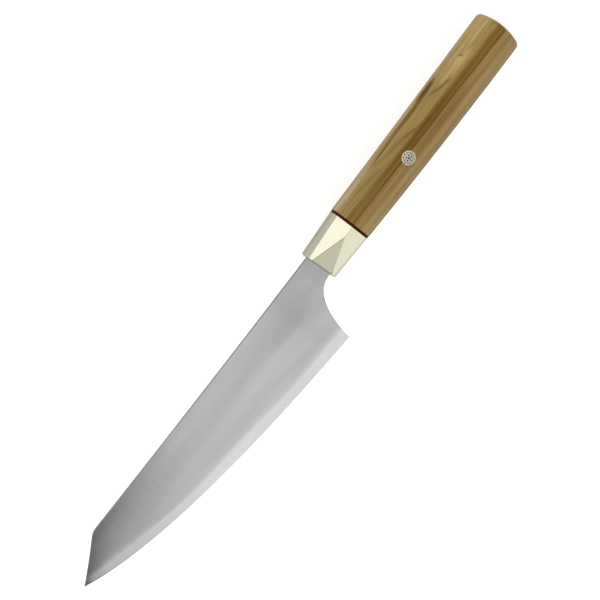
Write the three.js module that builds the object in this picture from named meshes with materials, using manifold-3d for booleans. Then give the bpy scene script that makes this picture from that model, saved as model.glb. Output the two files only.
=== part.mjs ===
// A gyuto kitchen knife: a three-layer blade with an angled tip and a hidden tang, a faceted bolster,
// a thin red spacer, a ten-sided wooden handle, and a mosaic pin through the handle and the tang.
import * as THREE from "three";
import { mergeVertices } from "three/addons/utils/BufferGeometryUtils.js";
import Module from "manifold-3d";

// Driving dimensions in millimetres. X runs from the tip to the butt, Y towards the spine and Z out of
// the left face. While the pieces are made, X and Y are zero at the tip and Z in the middle of the blade.
const point = (x, y) => new THREE.Vector2(x, y);

// Blade outline: the edge and the choil are cubic curves. The spine and the clip are hollow by under half
// a millimetre.
const BLADE_LENGTH = 180.6;
const TIP = point(0, 0);
const EDGE_PULL_AT_TIP = point(35.3, -16.7);
const EDGE_PULL_AT_HEEL = point(102.4, -23.1);
const HEEL = point(163.8, -26);
const CHOIL_PULL_AT_HEEL = point(165.7, -12.7);
const CHOIL_PULL_AT_NECK = point(170.1, -0.2);
const NECK_LOW = -0.35;
const NECK_HIGH = 12.93;
const SPINE_PULL = point(102.6, 12.05);
const CLIP_CORNER = point(22.4, 12.68);
const CLIP_CORNER_ROUNDING = 2.2;
const CLIP_PULL = point(11.5, 5.9);

// Blade thickness: a wedge from the spine to the bare band of core steel, then a steeper one to the edge.
const NECK_THICKNESS = 2.0;
const CLIP_THICKNESS = 1.2;
const TIP_THICKNESS = 0.7;
const CORE_THICKNESS = 0.6;
const EDGE_THICKNESS = 0.12;
const EDGE_BAND = 4.8;
const WELD_GAP = 0.02;

// Hidden tang: the neck goes a little way into the bolster and steps down to a tapering tang.
const TANG_SHOULDER_X = BLADE_LENGTH + 6;
const TANG_END_X = 276.6;
const TANG_MIDDLE = 6.1;
const TANG_FRONT_HEIGHT = 12;
const TANG_END_HEIGHT = 9;
const TANG_CLEARANCE = 0.1;

// Grip cross-sections, ten-sided. Each has its place x, the lean of its plane, the height of the ridges
// along the two sides, the half width there, and the distances up and down from the ridge to the shoulder,
// where the side facet ends, and on to the narrow top or bottom flat.
const SIDE_SLOPE = 0.329;
const SHOULDER_SLOPE = 1.8;
const BOLSTER_FRONT = {
  x: BLADE_LENGTH, lean: 0.07, ridge: 6.15, half: 8.57, up: [7.17, 9.04], down: [6.96, 8.83],
};
const BOLSTER_BACK = {
  x: 203.6, lean: 0.015, ridge: 6.97, half: 8.57, up: [8.12, 9.67], down: [8.7, 10.1],
};
const HANDLE_FRONT = {
  x: 204.9, lean: 0.015, ridge: 6.97, half: 8.82, up: [8.34, 9.84], down: [8.71, 10.31],
};
const HANDLE_BUTT = {
  x: 317.7, lean: 0, ridge: 7.36, half: 10, up: [9.8, 12.26], down: [8.45, 10.55],
};
const BELLY_SHARE = 0.5;
const BELLY_DEPTH = 0.6;
const BUTT_DOME_RADIUS = 30;
const BUTT_DOME_MIDDLE = 8.2;
const GLUE_LINE = 0.05;

// The flat cut on each side of the bolster starts on the ridge and gets deeper towards the blade. It slopes a
// little towards the edge.
const SIDE_CUT_LENGTH = 17.3;
const SIDE_CUT_DEPTH = 1.9;
const SIDE_CUT_SLOPE = 0.02;

// Slot in the wood for the tang and the adhesive that beds it.
const SLOT_END_X = TANG_END_X + 2.5;
const SLOT_HEIGHT = 14;
const SLOT_WIDTH = 4.2;
const BEDDING_START_X = HANDLE_FRONT.x + 0.4;

// Mosaic pin: a tube with a bundle of eighteen small tubes, one in the middle, five round it and twelve
// outside. It is cut long and ground flush with the wood.
const PIN_CENTRE = point(243.8, 5.96);
const PIN_DIAMETER = 6.6;
const PIN_ROUGH_LENGTH = 40;
const PIN_WALL = 0.2;
const PIN_BORE_CLEARANCE = 0.05;
const MIDDLE_STRAW = { diameter: 1.2, bore: 0.8 };
const INNER_STRAW = { diameter: 1.18, bore: 0.7 };
const OUTER_STRAW = { diameter: 0.94, bore: 0.56 };
const INNER_RING = { count: 5, radius: 1.27, turn: Math.PI / 4 };
const OUTER_RING = { count: 12, radius: 2.56, turn: 0 };
const RESIN_GAP = 0.015;

// How far a body that only cuts runs past what it cuts.
const CUTTER_REACH = 30;

// Steps of the curves
const EDGE_STEPS = 16;
const PIN_STEPS = 20;
const STRAW_STEPS = 6;
const DOME_RINGS = 6;
const DOME_STEPS = 24;

// Finishes
const finish = (color, roughness, metalness) =>
  new THREE.MeshStandardMaterial({ color, roughness, metalness });
const CORE_STEEL = finish(0xd3d4d3, 0.25, 1);
const SATIN_STEEL = finish(0xb2b3b4, 0.38, 1);
const NICKEL_SILVER = finish(0xe6e2cc, 0.16, 1);
const RED_FIBRE = finish(0x4a0f0a, 0.55, 0);
const STRIPED_WOOD = finish(0x967b4e, 0.5, 0);
const ADHESIVE = finish(0xc9b98a, 0.4, 0);
const PIN_BRASS = finish(0xd8cfa8, 0.25, 1);
const PIN_SILVER = finish(0xb9c0c4, 0.25, 1);
const DARK_RESIN = finish(0x23262a, 0.3, 0);
const PALE_RESIN = finish(0xc9bf9f, 0.35, 0);

const wasm = await Module();
wasm.setup();

// A closed geometry as a solid that can be joined and cut.
function solid(geometry) {
  geometry.deleteAttribute("normal");
  geometry.deleteAttribute("uv");
  const merged = mergeVertices(geometry, 1e-5);
  return new wasm.Manifold(
    new wasm.Mesh({
      numProp: 3,
      vertProperties: merged.attributes.position.array,
      triVerts: new Uint32Array(merged.index.array),
    }),
  );
}

// A solid as one named piece of the knife.
function piece(name, body, material) {
  const { vertProperties, triVerts } = body.getMesh();
  const geometry = new THREE.BufferGeometry();
  geometry.setAttribute("position", new THREE.BufferAttribute(vertProperties, 3));
  geometry.setIndex(new THREE.BufferAttribute(triVerts, 1));
  geometry.computeVertexNormals();
  const mesh = new THREE.Mesh(geometry, material);
  mesh.name = name;
  return mesh;
}

// A solid through closed rings of points, each turning from +Y to +Z, with a fan of faces on both ends.
function loft(rings) {
  const sides = rings[0].length;
  const middles = [rings[0], rings.at(-1)].map((ring) =>
    ring.reduce((sum, p) => sum.add(p), new THREE.Vector3()).divideScalar(sides),
  );
  const points = [...rings.flat(), ...middles];
  const [startMiddle, endMiddle] = [points.length - 2, points.length - 1];
  const endRing = (rings.length - 1) * sides;
  const faces = [];
  for (let j = 0; j < sides; j++) {
    const next = (j + 1) % sides;
    faces.push(startMiddle, next, j, endMiddle, endRing + j, endRing + next);
    for (let i = 0; i < endRing; i += sides) {
      faces.push(i + j, i + next, i + sides + next, i + j, i + sides + next, i + sides + j);
    }
  }
  const geometry = new THREE.BufferGeometry().setFromPoints(points);
  geometry.setIndex(faces);
  return solid(geometry);
}

// A flat outline with its holes, made into a plate of a thickness that is centred on the blade.
function plate(shape, thickness, curveSegments) {
  const options = { depth: thickness, bevelEnabled: false, curveSegments };
  const geometry = new THREE.ExtrudeGeometry(shape, options);
  geometry.translate(0, 0, -thickness / 2);
  return solid(geometry);
}

// A box between two corners.
function block(low, high) {
  const size = high.clone().sub(low);
  const geometry = new THREE.BoxGeometry(size.x, size.y, size.z);
  const middle = low.clone().add(high).multiplyScalar(0.5);
  geometry.translate(middle.x, middle.y, middle.z);
  return solid(geometry);
}

function circle(centre, radius, PathClass) {
  return new PathClass().absarc(centre.x, centre.y, radius, 0, 2 * Math.PI, false);
}

// Blade

const edgeCurve = new THREE.CubicBezierCurve(TIP, EDGE_PULL_AT_TIP, EDGE_PULL_AT_HEEL, HEEL);

const tangHalfHeight = (x) =>
  THREE.MathUtils.mapLinear(x, TANG_SHOULDER_X, TANG_END_X, TANG_FRONT_HEIGHT, TANG_END_HEIGHT) / 2;

// Corners of the tang from its lower front one to its upper front one, grown by a clearance.
function tangCorners(grow) {
  const front = tangHalfHeight(TANG_SHOULDER_X) + grow;
  const end = tangHalfHeight(TANG_END_X) + grow;
  return [
    point(TANG_SHOULDER_X + grow, TANG_MIDDLE - front),
    point(TANG_END_X + grow, TANG_MIDDLE - end),
    point(TANG_END_X + grow, TANG_MIDDLE + end),
    point(TANG_SHOULDER_X + grow, TANG_MIDDLE + front),
  ];
}

function bladeOutline() {
  const clipEnd = CLIP_CORNER.clone().setLength(CLIP_CORNER.length() - CLIP_CORNER_ROUNDING);
  const shape = new THREE.Shape();
  shape.moveTo(TIP.x, TIP.y);
  shape.bezierCurveTo(...EDGE_PULL_AT_TIP, ...EDGE_PULL_AT_HEEL, ...HEEL);
  shape.bezierCurveTo(...CHOIL_PULL_AT_HEEL, ...CHOIL_PULL_AT_NECK, BLADE_LENGTH, NECK_LOW);
  shape.lineTo(TANG_SHOULDER_X, NECK_LOW);
  tangCorners(0).forEach((corner) => shape.lineTo(corner.x, corner.y));
  shape.lineTo(TANG_SHOULDER_X, NECK_HIGH);
  shape.lineTo(BLADE_LENGTH, NECK_HIGH);
  shape.quadraticCurveTo(...SPINE_PULL, CLIP_CORNER.x + CLIP_CORNER_ROUNDING, CLIP_CORNER.y);
  shape.quadraticCurveTo(...CLIP_CORNER, ...clipEnd);
  shape.quadraticCurveTo(...CLIP_PULL, ...TIP);
  shape.holes.push(circle(PIN_CENTRE, PIN_DIAMETER / 2 + PIN_BORE_CLEARANCE, THREE.Path));
  return shape;
}

function spineThickness(x) {
  const { mapLinear } = THREE.MathUtils;
  if (x < CLIP_CORNER.x) return mapLinear(x, 0, CLIP_CORNER.x, TIP_THICKNESS, CLIP_THICKNESS);
  const along = Math.min(x, BLADE_LENGTH);
  return mapLinear(along, CLIP_CORNER.x, BLADE_LENGTH, CLIP_THICKNESS, NECK_THICKNESS);
}

// The ground faces of the blade, as a long wedge that follows the edge and runs past the outline all round.
function groundWedge() {
  const past = 4;
  const belowEdge = 0.1;
  const tangent = (share) => edgeCurve.getTangent(share);
  const beyond = (from, direction, distance) => from.clone().addScaledVector(direction, distance);
  const stations = [
    beyond(TIP, tangent(0), -past),
    ...edgeCurve.getPoints(EDGE_STEPS),
    beyond(HEEL, tangent(1), TANG_END_X - HEEL.x + past),
  ];
  return loft(
    stations.map(({ x, y }) => {
      const profile = [
        [NECK_HIGH + belowEdge, Math.max(spineThickness(x), EDGE_THICKNESS)],
        [y + EDGE_BAND, CORE_THICKNESS],
        [y - belowEdge, EDGE_THICKNESS],
        [y - past, EDGE_THICKNESS],
      ];
      const left = profile.map(([height, thickness]) => new THREE.Vector3(x, height, thickness / 2));
      const right = left.map((p) => new THREE.Vector3(p.x, p.y, -p.z)).reverse();
      return [...left, ...right];
    }),
  );
}

function bladeLayers() {
  const blank = plate(bladeOutline(), 2 * NECK_THICKNESS, EDGE_STEPS).intersect(groundWedge());
  const low = new THREE.Vector3(-CUTTER_REACH, HEEL.y - CUTTER_REACH, 0);
  const high = new THREE.Vector3(TANG_END_X + CUTTER_REACH, NECK_HIGH + CUTTER_REACH, 0);
  const layer = (from, to) => blank.intersect(block(low.clone().setZ(from), high.clone().setZ(to)));
  const core = CORE_THICKNESS / 2;
  return [
    piece("blade_core", layer(-core, core), CORE_STEEL),
    piece("blade_cladding_left", layer(core + WELD_GAP, NECK_THICKNESS), SATIN_STEEL),
    piece("blade_cladding_right", layer(-NECK_THICKNESS, -core - WELD_GAP), SATIN_STEEL),
  ];
}

// The room that neck and tang take in the pieces that they pass through.
function tangRoom() {
  const shape = new THREE.Shape();
  const frontX = BLADE_LENGTH - CUTTER_REACH;
  shape.moveTo(frontX, NECK_LOW - TANG_CLEARANCE);
  shape.lineTo(TANG_SHOULDER_X + TANG_CLEARANCE, NECK_LOW - TANG_CLEARANCE);
  tangCorners(TANG_CLEARANCE).forEach((corner) => shape.lineTo(corner.x, corner.y));
  shape.lineTo(TANG_SHOULDER_X + TANG_CLEARANCE, NECK_HIGH + TANG_CLEARANCE);
  shape.lineTo(frontX, NECK_HIGH + TANG_CLEARANCE);
  return plate(shape, NECK_THICKNESS + 2 * TANG_CLEARANCE, 1);
}

// Grip

function gripRing({ x, lean, ridge, half, up, down }) {
  const shoulderWidth = (rise) => half - SIDE_SLOPE * rise[0];
  const flatWidth = (rise) => shoulderWidth(rise) - SHOULDER_SLOPE * (rise[1] - rise[0]);
  const left = [
    [up[1], flatWidth(up)],
    [up[0], shoulderWidth(up)],
    [0, half],
    [-down[0], shoulderWidth(down)],
    [-down[1], flatWidth(down)],
  ].map(([rise, z]) => new THREE.Vector3(x - lean * rise, ridge + rise, z));
  const right = left.map((p) => new THREE.Vector3(p.x, p.y, -p.z)).reverse();
  return [...left, ...right];
}

// A cross-section part of the way from one to another.
function between(from, to, share) {
  const mix = (a, b) => THREE.MathUtils.lerp(a, b, share);
  return {
    x: mix(from.x, to.x),
    lean: mix(from.lean, to.lean),
    ridge: mix(from.ridge, to.ridge),
    half: mix(from.half, to.half),
    up: from.up.map((rise, i) => mix(rise, to.up[i])),
    down: from.down.map((drop, i) => mix(drop, to.down[i])),
  };
}

function bolster(room) {
  const body = loft([gripRing(BOLSTER_FRONT), gripRing(BOLSTER_BACK)]);
  const size = 2 * SIDE_CUT_LENGTH;
  const tilt = Math.atan2(SIDE_CUT_DEPTH, SIDE_CUT_LENGTH);
  const sideCut = (side) => {
    const geometry = new THREE.BoxGeometry(2 * size, size, size);
    geometry.translate(0, 0, (side * size) / 2);
    geometry.rotateX(side * Math.atan(SIDE_CUT_SLOPE));
    geometry.rotateY(-side * tilt);
    geometry.translate(BLADE_LENGTH + SIDE_CUT_LENGTH, BOLSTER_FRONT.ridge, side * BOLSTER_FRONT.half);
    return solid(geometry);
  };
  return piece("bolster", body.subtract(sideCut(1)).subtract(sideCut(-1)).subtract(room), NICKEL_SILVER);
}

function spacer(room) {
  const front = { ...BOLSTER_BACK, x: BOLSTER_BACK.x + GLUE_LINE };
  const back = { ...BOLSTER_BACK, x: HANDLE_FRONT.x - GLUE_LINE };
  return piece("spacer", loft([gripRing(front), gripRing(back)]).subtract(room), RED_FIBRE);
}

// The ten-sided block of wood before the butt is rounded.
function handleBlock() {
  const belly = between(HANDLE_FRONT, HANDLE_BUTT, BELLY_SHARE);
  belly.down = belly.down.map((drop) => drop + BELLY_DEPTH);
  return loft([HANDLE_FRONT, belly, HANDLE_BUTT].map(gripRing));
}

// A round bar along X whose far end is the dome of the butt.
function buttDome() {
  const barRadius = 2 * HANDLE_BUTT.half;
  const barStart = HANDLE_FRONT.x - CUTTER_REACH;
  const centre = HANDLE_BUTT.x - BUTT_DOME_RADIUS;
  const profile = [point(0, barStart), point(barRadius, barStart)];
  for (let i = 0; i <= DOME_RINGS; i++) {
    const angle = Math.asin(barRadius / BUTT_DOME_RADIUS) * (1 - i / DOME_RINGS);
    profile.push(point(BUTT_DOME_RADIUS * Math.sin(angle), centre + BUTT_DOME_RADIUS * Math.cos(angle)));
  }
  const geometry = new THREE.LatheGeometry(profile, DOME_STEPS);
  geometry.rotateZ(-Math.PI / 2);
  geometry.translate(0, BUTT_DOME_MIDDLE, 0);
  return solid(geometry);
}

// The slot in the wood, shrunk by a gap for the adhesive that fills it.
function slotBlock(startX, gap) {
  const height = SLOT_HEIGHT / 2 - gap;
  const width = SLOT_WIDTH / 2 - gap;
  return block(
    new THREE.Vector3(startX, TANG_MIDDLE - height, -width),
    new THREE.Vector3(SLOT_END_X - gap, TANG_MIDDLE + height, width),
  );
}

function pinBore() {
  const bore = circle(PIN_CENTRE, PIN_DIAMETER / 2 + PIN_BORE_CLEARANCE, THREE.Shape);
  return plate(bore, PIN_ROUGH_LENGTH, PIN_STEPS);
}

function handle(wood) {
  const slot = slotBlock(HANDLE_FRONT.x - CUTTER_REACH, 0);
  return piece("handle", wood.intersect(buttDome()).subtract(slot).subtract(pinBore()), STRIPED_WOOD);
}

function tangBedding(room) {
  const body = slotBlock(BEDDING_START_X, GLUE_LINE).subtract(room).subtract(pinBore());
  return piece("tang_bedding", body, ADHESIVE);
}

// Mosaic pin, each piece ground flush with the facets of the wood

function pinPieces(wood) {
  const flush = (shape, steps) => plate(shape, PIN_ROUGH_LENGTH, steps).intersect(wood);
  const tubeBore = PIN_DIAMETER / 2 - PIN_WALL;
  const tube = circle(PIN_CENTRE, PIN_DIAMETER / 2, THREE.Shape);
  tube.holes.push(circle(PIN_CENTRE, tubeBore, THREE.Path));
  const resin = circle(PIN_CENTRE, tubeBore - RESIN_GAP, THREE.Shape);
  const pieces = [piece("pin_tube", flush(tube, PIN_STEPS), PIN_BRASS)];

  const addStraw = (label, centre, { diameter, bore }, material) => {
    const straw = circle(centre, diameter / 2, THREE.Shape);
    straw.holes.push(circle(centre, bore / 2, THREE.Path));
    const filling = circle(centre, bore / 2 - RESIN_GAP, THREE.Shape);
    resin.holes.push(circle(centre, diameter / 2 + RESIN_GAP, THREE.Path));
    pieces.push(piece(`pin_${label}_tube`, flush(straw, STRAW_STEPS), material));
    pieces.push(piece(`pin_${label}_filling`, flush(filling, STRAW_STEPS), DARK_RESIN));
  };
  const addRing = (label, { count, radius, turn }, straw, material) => {
    for (let i = 0; i < count; i++) {
      const angle = turn + (2 * Math.PI * i) / count;
      const centre = point(radius * Math.cos(angle), radius * Math.sin(angle)).add(PIN_CENTRE);
      addStraw(`${label}_${String(i + 1).padStart(2, "0")}`, centre, straw, material);
    }
  };
  addStraw("middle", PIN_CENTRE, MIDDLE_STRAW, PIN_SILVER);
  addRing("inner", INNER_RING, INNER_STRAW, PIN_SILVER);
  addRing("outer", OUTER_RING, OUTER_STRAW, PIN_BRASS);
  pieces.push(piece("pin_resin", flush(resin, PIN_STEPS), PALE_RESIN));
  return pieces;
}

// The whole knife, moved so that the origin is on the surface it lies on, under the middle of its box.
const room = tangRoom();
const wood = handleBlock();
const knife = new THREE.Group();
knife.add(...bladeLayers(), bolster(room), spacer(room));
knife.add(handle(wood), tangBedding(room), ...pinPieces(wood));
const box = new THREE.Box3().setFromObject(knife);
const middle = box.getCenter(new THREE.Vector3());
knife.position.set(-middle.x, -middle.y, -box.min.z);

export default knife;
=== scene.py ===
# A gyuto kitchen knife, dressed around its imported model: ground blade, faceted bolster, red spacer,
# striped wood handle and mosaic pin, lying on a pale floor in soft studio light.
import math
from itertools import product
import bmesh
import bpy
from mathutils import Euler, Matrix, Vector
from mathutils.geometry import interpolate_bezier


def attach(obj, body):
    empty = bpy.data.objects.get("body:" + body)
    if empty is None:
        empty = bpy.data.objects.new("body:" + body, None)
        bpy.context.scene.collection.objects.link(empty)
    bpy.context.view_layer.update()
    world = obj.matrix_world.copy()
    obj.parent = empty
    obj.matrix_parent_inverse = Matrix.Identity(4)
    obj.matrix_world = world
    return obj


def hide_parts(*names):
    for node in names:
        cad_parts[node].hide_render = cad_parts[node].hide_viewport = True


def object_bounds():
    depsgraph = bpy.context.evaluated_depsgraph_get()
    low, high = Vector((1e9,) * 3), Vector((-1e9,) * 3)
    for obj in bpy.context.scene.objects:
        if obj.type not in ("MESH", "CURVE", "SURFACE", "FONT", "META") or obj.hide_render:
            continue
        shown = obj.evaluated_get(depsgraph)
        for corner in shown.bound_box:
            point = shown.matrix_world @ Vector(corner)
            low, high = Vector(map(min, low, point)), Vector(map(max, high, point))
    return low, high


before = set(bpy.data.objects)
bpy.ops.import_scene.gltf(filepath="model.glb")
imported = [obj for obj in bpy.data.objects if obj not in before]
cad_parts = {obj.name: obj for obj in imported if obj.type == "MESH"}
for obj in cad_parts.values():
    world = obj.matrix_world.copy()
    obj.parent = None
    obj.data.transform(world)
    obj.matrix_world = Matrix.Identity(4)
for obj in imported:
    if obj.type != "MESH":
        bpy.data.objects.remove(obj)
cad_low, cad_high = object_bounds()

# Sizes are in millimetres from the tip of the blade: X to the butt, Y to the spine, Z out of the
# left face.
MM = 0.001

# Blade outline: edge, choil, neck, spine and clipped tip
BLADE_LENGTH = 180.6
TIP = Vector((0, 0))
EDGE_PULLS = Vector((35.3, -16.7)), Vector((102.4, -23.1))
HEEL = Vector((163.8, -26))
CHOIL_PULLS = Vector((165.7, -12.7)), Vector((170.1, -0.2))
NECK_LOW = -0.35
NECK_HIGH = 12.93
SPINE_PULL = Vector((102.6, 12.05))
CLIP_CORNER = Vector((22.4, 12.68))
CLIP_ROUNDING = 2.2
CLIP_PULL = Vector((11.5, 5.9))
EDGE_STEPS = 96
CHOIL_STEPS = 36
CLIP_STEPS = 24
CLIP_CORNER_STEPS = 8
SPINE_STEPS = 64

# Blade thickness: a steep wedge in the bare band of core steel, then a long convex one up to the spine
NECK_HALF = 1.0
CLIP_HALF = 0.6
TIP_HALF = 0.1
CORE_HALF = 0.3
EDGE_HALF = 0.06
KEEN_HALF = 0.01
KEEN_BEVEL = 0.5
BAND_HEIGHT = 4.02
BAND_SWELL = 0.4
BAND_SWELL_LENGTH = 64
BAND_SWELL_START = 95
BAND_RUNOUT = 26
CONVEX_GRIND = 0.05
WELD_GAP = 0.01
SPINE_ROUNDING = 0.16
FACE_ROWS = 14
ROUNDING_STEPS = 4

# Misty fringe above the core steel: distance from the tip, and how far the fringe is drawn out there
FRINGE_GROWTH = [Vector(p) for p in (
    (0, 0.1), (4, 0.35), (6.5, 0.8), (9, 1.3), (14.5, 1.4),
    (25, 1.0), (33, 0.95), (45, 0.5), (112, 1.25))]
ABOVE_CORE = "above_core"

# Hidden tang
TANG_SHOULDER = BLADE_LENGTH + 6
SHOULDER_STEP = 0.01
TANG_END = 276.6
TANG_MIDDLE = 6.1
TANG_FRONT_HALF = 6.0
TANG_END_HALF = 4.5
TANG_CLEARANCE = 0.1

# Grip sections, ten-sided: place, lean, height and half width of the side ridges, and the distances up
# and down from the ridge to the shoulder and to the narrow flat
SIDE_SLOPE = 0.329
SHOULDER_SLOPE = 1.8
BOLSTER_FRONT = dict(
    x=BLADE_LENGTH - 0.2, lean=0.048, ridge=6.15, half=8.57, up=(7.17, 9.04), down=(6.96, 8.83))
BOLSTER_BACK = dict(x=203.6, lean=0.015, ridge=6.97, half=8.57, up=(8.12, 9.67), down=(8.7, 10.1))
HANDLE_FRONT = dict(x=204.9, lean=0.015, ridge=6.97, half=8.82, up=(8.34, 9.84), down=(8.71, 10.31))
HANDLE_BUTT = dict(x=317.7, lean=0, ridge=7.36, half=10, up=(9.8, 12.26), down=(8.45, 10.55))
BELLY_DEPTH = 0.6
BUTT_DOME_RADIUS = 30
BUTT_DOME_MIDDLE = 8.2
GLUE_LINE = 0.05
SIDE_CUT_LENGTH = 17.3
SIDE_CUT_DEPTH = 1.9
SIDE_CUT_SLOPE = 0.02
SLOT_END = TANG_END + 2.5
SLOT_HALF_HEIGHT = 7.0
SLOT_HALF_WIDTH = 2.1
CUT_OVERRUN = 10

# Softened edges of the grip
BOLSTER_TOP_RIM = 1.4
BOLSTER_RIM = 0.85
BOLSTER_EDGE = 0.16
RIDGE_EDGE = 0.05
SPACER_EDGE = 0.06
BUTT_RIM = 1.5
HANDLE_EDGE = 0.3
ROUNDED_SEGMENTS = 4
BEVEL_WEIGHT = "bevel_weight_edge"

# Mosaic pin
PIN_CENTRE = Vector((243.8, 5.96))
PIN_RADIUS = 3.3
PIN_WALL = 0.2
PIN_BORE_CLEARANCE = 0.05
MIDDLE_STRAW = dict(radius=0.6, bore=0.5)
INNER_STRAW = dict(radius=0.59, bore=0.42)
OUTER_STRAW = dict(radius=0.47, bore=0.35)
INNER_RING = dict(count=5, radius=1.27, turn=math.pi / 4)
OUTER_RING = dict(count=12, radius=2.56, turn=0)
RESIN_GAP = 0.015
RESIN_DISH = 0.04
PIN_STEPS = 64
STRAW_STEPS = 24

# Meshes: angles that count as flat or as sharp, and distances in metres that count as none
CUTTER_FLATNESS = math.radians(1)
FACET_FLATNESS = math.radians(1.5)
FACET_ANGLE = math.radians(32)
BLADE_CREASE_ANGLE = math.radians(40)
SAME_POINT = 1e-7
NO_LENGTH = 1e-8
ON_RIM = 1e-6

# Photograph: how far the camera leans from the left face's normal towards the spine, how the knife
# runs across the picture, and the point of the knife in the middle of it
CAMERA_LEAN = math.radians(13.5)
CAMERA_ROLL = math.radians(51.993)
CAMERA_DISTANCE = 1.0
CAMERA_LENS = 132
CAMERA_SENSOR = 36
PICTURE_MIDDLE = (163.21, 3.132, 0)

# Studio: radiance of the walls up to one height above the horizon, and of the ceiling from another one
# on, and the softboxes' places, the points they face, their sizes in metres, radiances and turns
WALL_RADIANCE = 1.25
CEILING_RADIANCE = 0.27
WALLS_END = math.radians(12)
CEILING_START = math.radians(48)
SOFTBOXES = [
    ("overhead_softbox", (-0.104, -0.261, 0.5), (-0.104, -0.2609, 0), (0.388, 0.34), 1.14, math.radians(27)),
    ("front_softbox", (0.02, -0.68, 0.5), (0.02, -0.05, 0), (1.0, 0.4), 1.64, 0),
    ("back_softbox", (0.05, 0.45, 0.5), (0.05, 0.4501, 0), (1.0, 0.6), 2.27, 0),
]
FLOOR_SIZE = 4.0
FLOOR_CELLS = 8

tip_place = Vector((cad_low.x, cad_low.y - HEEL.y * MM, (cad_low.z + cad_high.z) / 2))


def place(x, y, z=0):
    """A point of the knife, in metres in the shared frame."""
    return tip_place + Vector((x, y, z)) * MM


def mix(a, b, share):
    """A value part of the way from one to another."""
    return a + (b - a) * share


def bow(share):
    """From nothing at both ends up to 1 in the middle."""
    return 4 * share * (1 - share)


# Materials

# Noise seldom leaves this span, so what it varies runs across it
NOISE_LOW = 0.3
NOISE_HIGH = 0.7

# Sockets where a mix of two colours takes them in and gives the result
UNDER = 6
OVER = 7
MIXED = 2

# Tones of the blade by the distance from its tip: painted shade that darkens the steel towards the tip, and
# the faces a little near the heel
CORE_TONE_AND_PAINTED_SHADE = [(0, "4c4c4c"), (2.7, "6e6e6e"), (5, "949494"), (13, "a9a9a9"), (75, "bdbdbd")]
FACE_PAINTED_SHADE = [
    (0, "787878"), (5.5, "bdbdbd"), (13, "cdcdcd"), (27, "e8e8e8"), (45, "f1f1f1"),
    (75, "fefefe"), (120, "ffffff"), (150, "f6f6f6"), (156, "f0f0f0"), (172, "ffffff"),
]
TONES_END = 175


def linear(hex_colour):
    """An sRGB hex colour as linear red, green, blue and full alpha."""
    parts = [int(hex_colour[i:i + 2], 16) / 255 for i in (0, 2, 4)]
    return [c / 12.92 if c <= 0.04045 else ((c + 0.055) / 1.055) ** 2.4 for c in parts] + [1.0]


def add_node(tree, kind, feeds=None, stops=None, **settings):
    """Add a node with its settings. Feeds are values or links for its inputs, stops a ramp's colours."""
    node = tree.nodes.new(kind)
    for name, value in settings.items():
        setattr(node, name, value)
    for key, value in (feeds or {}).items():
        if isinstance(value, bpy.types.Node):
            value = value.outputs[0]
        if isinstance(value, bpy.types.NodeSocket):
            tree.links.new(value, node.inputs[key])
        else:
            node.inputs[key].default_value = value
    if stops:
        elements = node.color_ramp.elements
        while len(elements) < len(stops):
            elements.new(1.0)
        for element, (position, colour) in zip(elements, stops):
            element.position = position
            element.color = linear(colour)
    return node


def new_material(name, surface):
    """A material with constants on its shader's own sockets, its tree and a coordinate node in mm."""
    material = bpy.data.materials.new(name)
    material.use_nodes = True
    tree = material.node_tree
    shader = tree.nodes["Principled BSDF"]
    for socket, value in surface.items():
        shader.inputs[socket].default_value = value
    own = add_node(tree, "ShaderNodeTexCoord").outputs["Object"]
    in_mm = add_node(tree, "ShaderNodeVectorMath", {0: own, "Scale": 1 / MM}, operation="SCALE")
    return material, tree, shader, in_mm


def uneven_marks(tree, in_mm, sizes, detail):
    """Marks left by tools or growth, uneven all over, with sizes in millimetres along X, Y and Z."""
    scaled = add_node(tree, "ShaderNodeVectorMath", {0: in_mm, 1: [1 / size for size in sizes]},
                      operation="MULTIPLY")
    return add_node(tree, "ShaderNodeTexNoise", {"Vector": scaled, "Scale": 1.0, "Detail": detail})


def uneven_finish(tree, shader, marks, colours, roughness, span=(0.0, 1.0)):
    """Let marks vary a finish between two colours and, across a span, two roughnesses. Gives the colour."""
    colour = add_node(tree, "ShaderNodeValToRGB", {"Fac": marks},
                      stops=[(NOISE_LOW, colours[0]), (NOISE_HIGH, colours[1])])
    tree.links.new(colour.outputs[0], shader.inputs["Base Color"])
    rough = add_node(tree, "ShaderNodeMapRange", {"Value": marks, "From Min": span[0], "From Max": span[1],
                                                  "To Min": roughness[0], "To Max": roughness[1]})
    tree.links.new(rough.outputs[0], shader.inputs["Roughness"])
    return colour


def soft_spot(tree, coordinate, middle, half_sizes, slant, strength):
    """How much a soft oval spot shows at each point, full in its middle and nothing at its rim."""
    full_share = 0.35
    around = add_node(tree, "ShaderNodeMapping", {"Vector": coordinate, "Location": middle,
                                                  "Rotation": (0, 0, slant), "Scale": half_sizes},
                      vector_type="TEXTURE")
    distance = add_node(tree, "ShaderNodeVectorMath", {0: around}, operation="LENGTH")
    return add_node(tree, "ShaderNodeMapRange", {"Value": distance.outputs["Value"], "From Min": full_share,
                                                 "To Min": strength, "To Max": 0.0},
                    interpolation_type="SMOOTHSTEP")


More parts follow.
